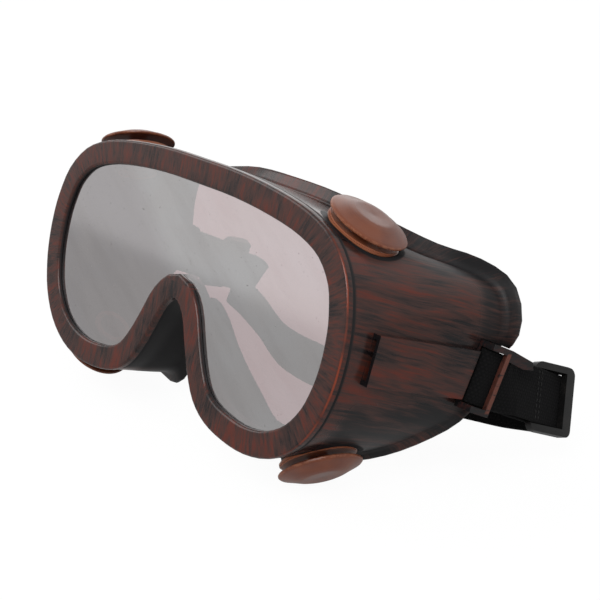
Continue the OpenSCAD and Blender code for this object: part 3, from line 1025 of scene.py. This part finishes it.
@dataclass(frozen=True)
class Stitch:
    """The stitches beside a buckle, in millimetres: how many there are, and each one's form."""

    rows: tuple[float, float] = (25.2, 26.6)
    count: int = 9
    gap: float = 1.75
    length: float = 1.25
    radius: float = 0.16
    sink: float = 0.16
    proud: float = 0.06
    taper: float = 0.9
    least: float = 0.12
    ring: int = 8
    steps: int = 7


@dataclass
class Webbing:
    """The elastic strap: one ribbed band through both clips and buckles, and its stitching.

    Its route repeats the part's source: millimetres, before the goggles lean back.
    """

    width: float = 17.0
    thick: float = 1.2
    pin: Point = (86.2922, 52.0, -3.0)
    dip: float = radians(12.0)
    twist: float = radians(20.0)
    twist_from: float = 8.0
    twist_len: float = 7.0
    layer: float = 1.8
    stop: float = 39.4
    fold_after: float = 1.4
    fold: float = 3.75
    run_step: float = 3.0
    run_start: float = 1.5
    wrap_turn: int = 18
    lead_out: float = 10.0
    turn_in: Point = (-3.0, -11.0, 0.6)
    turn_up: float = 0.4
    corner_in: float = 15.0
    corner_back: float = 9.0
    corner_drop: float = 0.12
    rear: tuple[Point, ...] = ((0.52, 3.0, 0.42), (0.32, 1.0, 0.88), (0.16, 0.3, 1.0),
                               (0.0, 0.0, 1.0), (-0.16, 0.3, 1.0))
    rear_steps: int = 6
    back: float = 66.0
    rest: float = 0.1
    pitch: float = 0.6
    ribs: int = 17
    rib_points: int = 4
    rib_height: float = 0.11
    rib_sink: float = 0.12
    edge_round: float = 0.5
    edge_least: float = 0.05
    weft_len: float = 2.4
    weft_lift: float = 0.035
    stitch: Stitch = Stitch()

    @property
    def _along(self) -> Array:
        """The direction of the doubled run."""
        return np.array([0.0, cos(self.dip), -sin(self.dip)])

    def _turn(self, s: float) -> float:
        """How far the band has twisted in, in radians, at a distance behind the pin."""
        c = min(1.0, max(0.0, (s - self.twist_from) / self.twist_len))
        return self.twist * c * c * (3.0 - 2.0 * c)

    def _run(self, d: float, s: float) -> Row:
        """A row of the doubled run.

        Args:
            d: how far outboard of the pin's plane.
            s: how far behind the pin.

        Returns:
            The point and the direction of the width there.
        """
        across = np.array([0.0, sin(self.dip), cos(self.dip)])
        side = np.array([1.0, 0.0, 0.0])
        t = self._turn(s)
        out = side * cos(t) + across * sin(t)
        point = np.array(self.pin) + self._along * s + out * d
        return point, across * cos(t) - side * sin(t)

    def _floor(self, y: float) -> float:
        """Height at which the band's lower edge rests on the table."""
        lift = y * sin(STANCE.tilt) - STANCE.stand + self.width / 2 + self.rest
        return lift / cos(STANCE.tilt)

    def _rear(self) -> list[Row]:
        """The run behind the buckle, round the corner and across the back to the middle.

        Returns:
            Its rows.
        """
        end, wide = self._run(-self.layer - 2 * self.fold, self.stop + self.fold_after)

        def height(share: float, y: float) -> float:
            """A height between the buckle's, at share 0, and the table's, at share 1."""
            return end[2] + (self._floor(y) - end[2]) * share

        corner = np.array([end[0] - self.corner_in, self.back + self.corner_back,
                           height(self.corner_drop, self.back)])
        rows = [(end + self.lead_out * self._along, wide), (end, wide),
                (end + np.array(self.turn_in), wide + (STANCE.up - wide) * self.turn_up),
                (corner, STANCE.up)]
        for share, further, drop in self.rear:
            y = self.back + further
            rows.append((np.array([share * end[0], y, height(drop, y)]), STANCE.up))
        made = []
        for i in range(1, len(rows) - 2):
            for t in np.arange(self.rear_steps) / self.rear_steps:
                four = [rows[i + k] for k in (-1, 0, 1, 2)]
                made.append(tuple(self._spline([row[j] for row in four], t) for j in (0, 1)))
        return made

    @staticmethod
    def _spline(r: Sequence[Array], t: float) -> Array:
        """A point at share t between the middle two of the four points of a smooth curve."""
        a, b, c, e = r
        return 0.5 * (2 * b + (c - a) * t + (2 * a - 5 * b + 4 * c - e) * t * t
                      + (3 * b - a - 3 * c + e) * t ** 3)

    def _half(self) -> list[Row]:
        """The half at +X, from the cut end to just before the middle of the back.

        Returns:
            Its rows.
        """
        half_turn = np.radians(np.arange(0, 181, self.wrap_turn))
        rows = [self._run(self.layer, s)
                for s in np.arange(self.stop, self.run_start, -self.run_step)]
        for a in half_turn:
            rows.append(self._run(self.layer * cos(a), -self.layer * sin(a)))
        rows += [self._run(-self.layer, s)
                 for s in np.arange(self.run_step, self.stop, self.run_step)]
        for a in half_turn[:-1]:
            rows.append(self._run(-self.layer - self.fold + self.fold * cos(a),
                                  self.stop + self.fold_after + self.fold * sin(a)))
        return rows + self._rear()

    def _frames(self) -> tuple[Array, Array, Array]:
        """Draws the whole band's middle line, with its rows spaced evenly.

        Returns:
            Each row's point, width direction and thickness direction.
        """
        half = self._half()
        flip = np.array([-1.0, 1.0, 1.0])
        rows = half + [(np.array([0.0, self.back, self._floor(self.back)]), STANCE.up)]
        rows += [(p * flip, w * flip) for p, w in reversed(half)]
        points, wides = (np.array([row[k] for row in rows]) for k in (0, 1))
        gone = np.concatenate([[0.0], np.cumsum(np.linalg.norm(np.diff(points, axis=0), axis=1))])
        even = np.linspace(0.0, gone[-1], int(gone[-1] / self.pitch) + 1)
        points, wides = (np.stack([np.interp(even, gone, told[:, k]) for k in range(3)], 1)
                         for told in (points, wides))
        ahead = np.vstack([points[1:], points[-1:]]) - np.vstack([points[:1], points[:-1]])
        ahead /= np.linalg.norm(ahead, axis=1)[:, None]
        wides = wides - ahead * np.sum(wides * ahead, axis=1)[:, None]
        wides /= np.linalg.norm(wides, axis=1)[:, None]
        return points, wides, np.cross(ahead, wides)

    def _profile(self) -> tuple[Array, Array]:
        """The band's outline across.

        Returns:
            Shares of the width, and heights in millimetres.
        """
        share = np.linspace(0.0, 1.0, self.ribs * self.rib_points + 1)[1:-1]
        ripple = np.abs(np.sin(share * self.ribs * pi)) * self.rib_height
        edge = np.minimum(share, 1.0 - share) * self.width
        full = self.thick / 2 - self.rib_sink + ripple
        fall = (1.0 - np.clip(edge / self.edge_round, 0.0, 1.0)) ** 2
        height = full * np.sqrt(np.clip(1.0 - fall, self.edge_least, 1.0))
        across = np.concatenate([[0.0], share, [1.0], share[::-1]])
        return across, np.concatenate([[0.0], height, [0.0], -height[::-1]])

    def band(self) -> Piece:
        """Builds the ribbed band.

        Returns:
            The band.
        """
        points, wides, thicks = self._frames()
        across, height = self._profile()
        n, k = len(points), len(across)
        gone = np.arange(n) * self.pitch
        weave = np.sin(gone * 2 * pi / self.weft_len)[:, None]
        odd = (np.floor(across * self.ribs) % 2 * 2 - 1)[None, :]
        lift = height[None, :] * (1.0 + self.weft_lift * weave * odd)
        offset = (across - 0.5)[None, :] * self.width
        grid = points[:, None] + wides[:, None] * offset[..., None]
        grid += thicks[:, None] * lift[..., None]
        made = mesh_piece("strap_webbing", STANCE.to_row(grid.reshape(-1, 3)), tube_faces(n, k))
        kept = made.data.attributes.new(BAND, "FLOAT_VECTOR", "POINT")
        told = np.stack([np.tile(across, n), np.repeat(gone, k), np.zeros(n * k)], 1)
        kept.data.foreach_set("vector", told.astype(np.float32).ravel())
        return made

    def stitching(self, side: Side) -> Piece:
        """Sews two rows of thread across the outer layer, just in front of the buckle's rear bar.

        Args:
            side: which half.

        Returns:
            The thread, as one piece.
        """
        points, faces = [], []
        form = self.stitch
        sign = np.array([side.value, 1.0, 1.0])
        turn = 2 * pi * np.arange(form.ring)[None, :, None] / form.ring
        t = np.linspace(-1.0, 1.0, form.steps)[:, None, None]
        swell = form.radius * np.sqrt(np.maximum(form.least, 1.0 - t * t * form.taper))
        for s in form.rows:
            at, wide = self._run(self.layer + self.thick / 2, s)
            out = self._run(self.layer + 1.0, s)[0] - self._run(self.layer, s)[0]
            rise = form.proud - form.sink * t * t + swell * np.cos(turn)
            for stitch in range(form.count):
                middle = (stitch - (form.count - 1) / 2) * form.gap
                faces += tube_faces(form.steps, form.ring, len(points))
                body = (at + wide * (middle + t * form.length / 2) + out * rise
                        + np.cross(wide, out) * np.sin(turn) * swell)
                points += list(body.reshape(-1, 3) * sign)
        name = f"strap_stitching_{side.name.lower()}"
        return mesh_piece(name, STANCE.to_row(np.array(points)), faces)

    def build(self) -> list[Piece]:
        """Builds the band and its stitching, in place of the plain CAD strap.

        Returns:
            The band, then each side's thread.
        """
        band = self.band()
        dress(band, ElasticWeave("elastic_webbing").material())
        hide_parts("strap")
        thread = SewingThread("sewing_thread").material()
        made = [band]
        for side in Side:
            row = self.stitching(side)
            dress(row, thread)
            made.append(row)
        for piece in made:
            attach(piece, "goggles")
        return made


@dataclass(frozen=True)
class Lamp:
    """A soft square lamp: its place and side in metres, and its power in watts."""

    name: str
    at: Point
    size: float
    power: float


@dataclass
class Studio:
    """The floor, the white surroundings, the lamps and the camera."""

    white: float = 1.03
    ambient: float = 0.42
    mirrored: float = 0.62
    floor_mirrored: float = 0.43
    floor_share: float = 0.93
    floor_half: float = 6.0
    floor_grey: Colour = (0.86, 0.86, 0.86)
    lamps: tuple[Lamp, ...] = (
        Lamp("key", (0.55, -0.75, 0.95), 0.7, 7.0),
        Lamp("fill", (-1.2, -0.85, 1.0), 1.2, 8.0),
        Lamp("rear", (0.3, 0.9, 0.8), 1.2, 1.0),
        Lamp("sweep", (-1.15, 1.0, 0.72), 1.3, 5.0),
    )
    target: Point = (0.0, 0.0, 0.04)
    eye: Point = (0.38067, -0.282796, 0.199397)
    ahead: Point = (-0.751641, 0.573616, -0.325578)
    up: Point = (-0.259904, 0.196097, 0.945514)
    lens: float = 90.0515
    sensor: float = 36.0
    nearest: float = 0.01
    furthest: float = 50.0

    @staticmethod
    def _rays(d: Drawing) -> tuple[Signal, Signal]:
        """Tells kinds of ray apart.

        Args:
            d: the drawing.

        Returns:
            1 for the rays of the camera and of the pane, and 1 for the rays that gloss mirrors.
        """
        path = d.node("ShaderNodeLightPath")
        camera, glossy, through = (Signal(d, path.outputs[f"Is {kind} Ray"])
                                   for kind in ("Camera", "Glossy", "Transmission"))
        return d.maths("MAXIMUM", camera, through), glossy

    def floor(self) -> Piece:
        """Lays the pale floor, which keeps a trace of the object's shadow.

        Returns:
            The floor.
        """
        h = self.floor_half
        corners = np.array([[-h, -h, 0.0], [h, -h, 0.0], [h, h, 0.0], [-h, h, 0.0]])
        made = mesh_piece("floor", corners, [[0, 1, 2, 3]])
        material = bpy.data.materials.new("pale_floor")
        material.use_nodes = True
        d = Drawing(material.node_tree)
        matt = d.node("ShaderNodeBsdfDiffuse", None, Color=self.floor_grey).outputs[0]
        open_ray, glossy = self._rays(d)
        strength = d.maths("MAXIMUM", open_ray * self.white, glossy * self.floor_mirrored)
        glow = d.node("ShaderNodeEmission", None, Color=WHITE, Strength=strength).outputs[0]
        share = d.maths("MAXIMUM", open_ray * self.floor_share, glossy)
        d.surface(d.mix(share, matt, glow))
        made.data.materials.append(material)
        return made

    def world(self) -> None:
        """Sets the white surroundings, and their share of the light on the object."""
        made = bpy.data.worlds.new("studio_white")
        made.use_nodes = True
        d = Drawing(made.node_tree)
        open_ray, glossy = self._rays(d)
        shown = d.maths("MAXIMUM", open_ray * self.white, glossy * self.mirrored)
        strength = d.maths("MAXIMUM", shown, self.ambient)
        glow = d.node("ShaderNodeBackground", None, Color=WHITE, Strength=strength)
        d.surface(glow.outputs[0], "ShaderNodeOutputWorld")
        bpy.context.scene.world = made

    def hang(self, lamp: Lamp) -> None:
        """Hangs a lamp that looks at the goggles.

        Args:
            lamp: the lamp.
        """
        data = bpy.data.lights.new(lamp.name, "AREA")
        data.size = lamp.size
        data.energy = lamp.power
        made = bpy.data.objects.new(lamp.name, data)
        made.location = lamp.at
        made.visible_camera = False
        made.rotation_mode = "QUATERNION"
        made.rotation_quaternion = (Vector(self.target) - Vector(lamp.at)).to_track_quat("-Z", "Y")
        bpy.context.scene.collection.objects.link(made)

    def camera(self) -> None:
        """Places the camera at the photograph's viewing angle."""
        data = bpy.data.cameras.new("camera")
        data.lens = self.lens
        data.sensor_width = self.sensor
        data.clip_start, data.clip_end = self.nearest, self.furthest
        made = bpy.data.objects.new("camera", data)
        ahead = Vector(self.ahead).normalized()
        right = ahead.cross(Vector(self.up)).normalized()
        up = right.cross(ahead)
        turn = Matrix((right, up, -ahead)).transposed().to_4x4()
        made.matrix_world = Matrix.Translation(self.eye) @ turn
        bpy.context.scene.collection.objects.link(made)
        bpy.context.scene.camera = made

    def build(self) -> list[Piece]:
        """Builds the studio.

        Returns:
            The floor, its only piece with faces.
        """
        bpy.context.scene.view_settings.view_transform = "Standard"
        self.world()
        for lamp in self.lamps:
            self.hang(lamp)
        self.camera()
        return [self.floor()]


def main() -> None:
    """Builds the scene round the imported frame, and reports each piece."""
    logging.basicConfig(level=logging.INFO, format="%(name)s: %(message)s")
    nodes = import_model()["nodes"]
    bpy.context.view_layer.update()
    for part in (Studio(), Shell(nodes), Vents(nodes), SideFittings(nodes), Webbing()):
        for piece in part.build():
            LOG.info("%s: %s, %d faces", type(part).__name__, piece.name,
                     len(piece.data.polygons))


if __name__ == "__main__":
    main()
